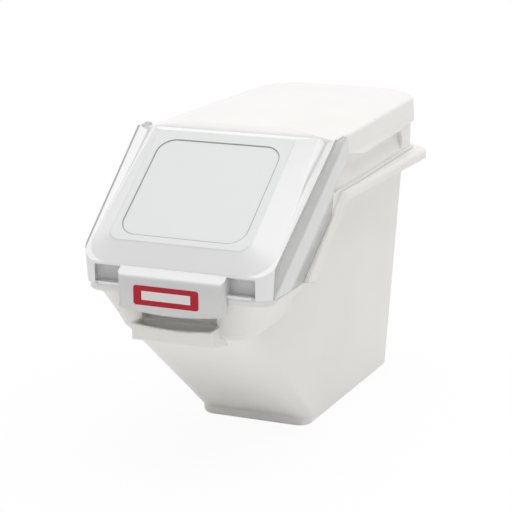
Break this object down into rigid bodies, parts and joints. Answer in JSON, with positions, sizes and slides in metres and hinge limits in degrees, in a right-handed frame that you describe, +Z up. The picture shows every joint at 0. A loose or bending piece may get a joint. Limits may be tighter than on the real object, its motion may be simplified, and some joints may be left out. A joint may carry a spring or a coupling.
{
  "type": "ingredient bin",
  "caption": "Wedge-fronted plastic ingredient bin with a lift-off rear cover, a clear flip-up front lid with a handle, and a hanging scoop.",
  "frame": {"origin": "middle of the footprint box, on the surface the bin stands on", "axes": "+X across the bin, -Y towards the handle and the pouring front, +Z up"},
  "size_m": [0.292, 0.597, 0.428],
  "materials": {
    "white_plastic": "satin moulded",
    "cover_plastic": "satin moulded",
    "clear_plastic": "clear moulded",
    "label": "printed",
    "scoop_plastic": "moulded"
  },
  "bodies": {
    "bin": {"bin_body": "white_plastic"},
    "cover": {"rear_cover": "cover_plastic"},
    "lid": {"front_lid": "clear_plastic", "label_plate": "label"},
    "scoop": {"scoop": "scoop_plastic"}
  },
  "joints": [
    {"name": "cover_lift", "type": "slide", "parent": "bin", "child": "cover", "axis": [0, 0, 1], "range_m": [0, 0.12]},
    {"name": "lid_hinge", "type": "hinge", "parent": "cover", "child": "lid", "pos_m": [0, -0.0595, 0.394], "axis": [-1, 0, 0], "range_deg": [0, 85]},
    {"name": "scoop_lift", "type": "slide", "parent": "bin", "child": "scoop", "axis": [0, 0, 1], "range_m": [0, 0.04]}
  ]
}
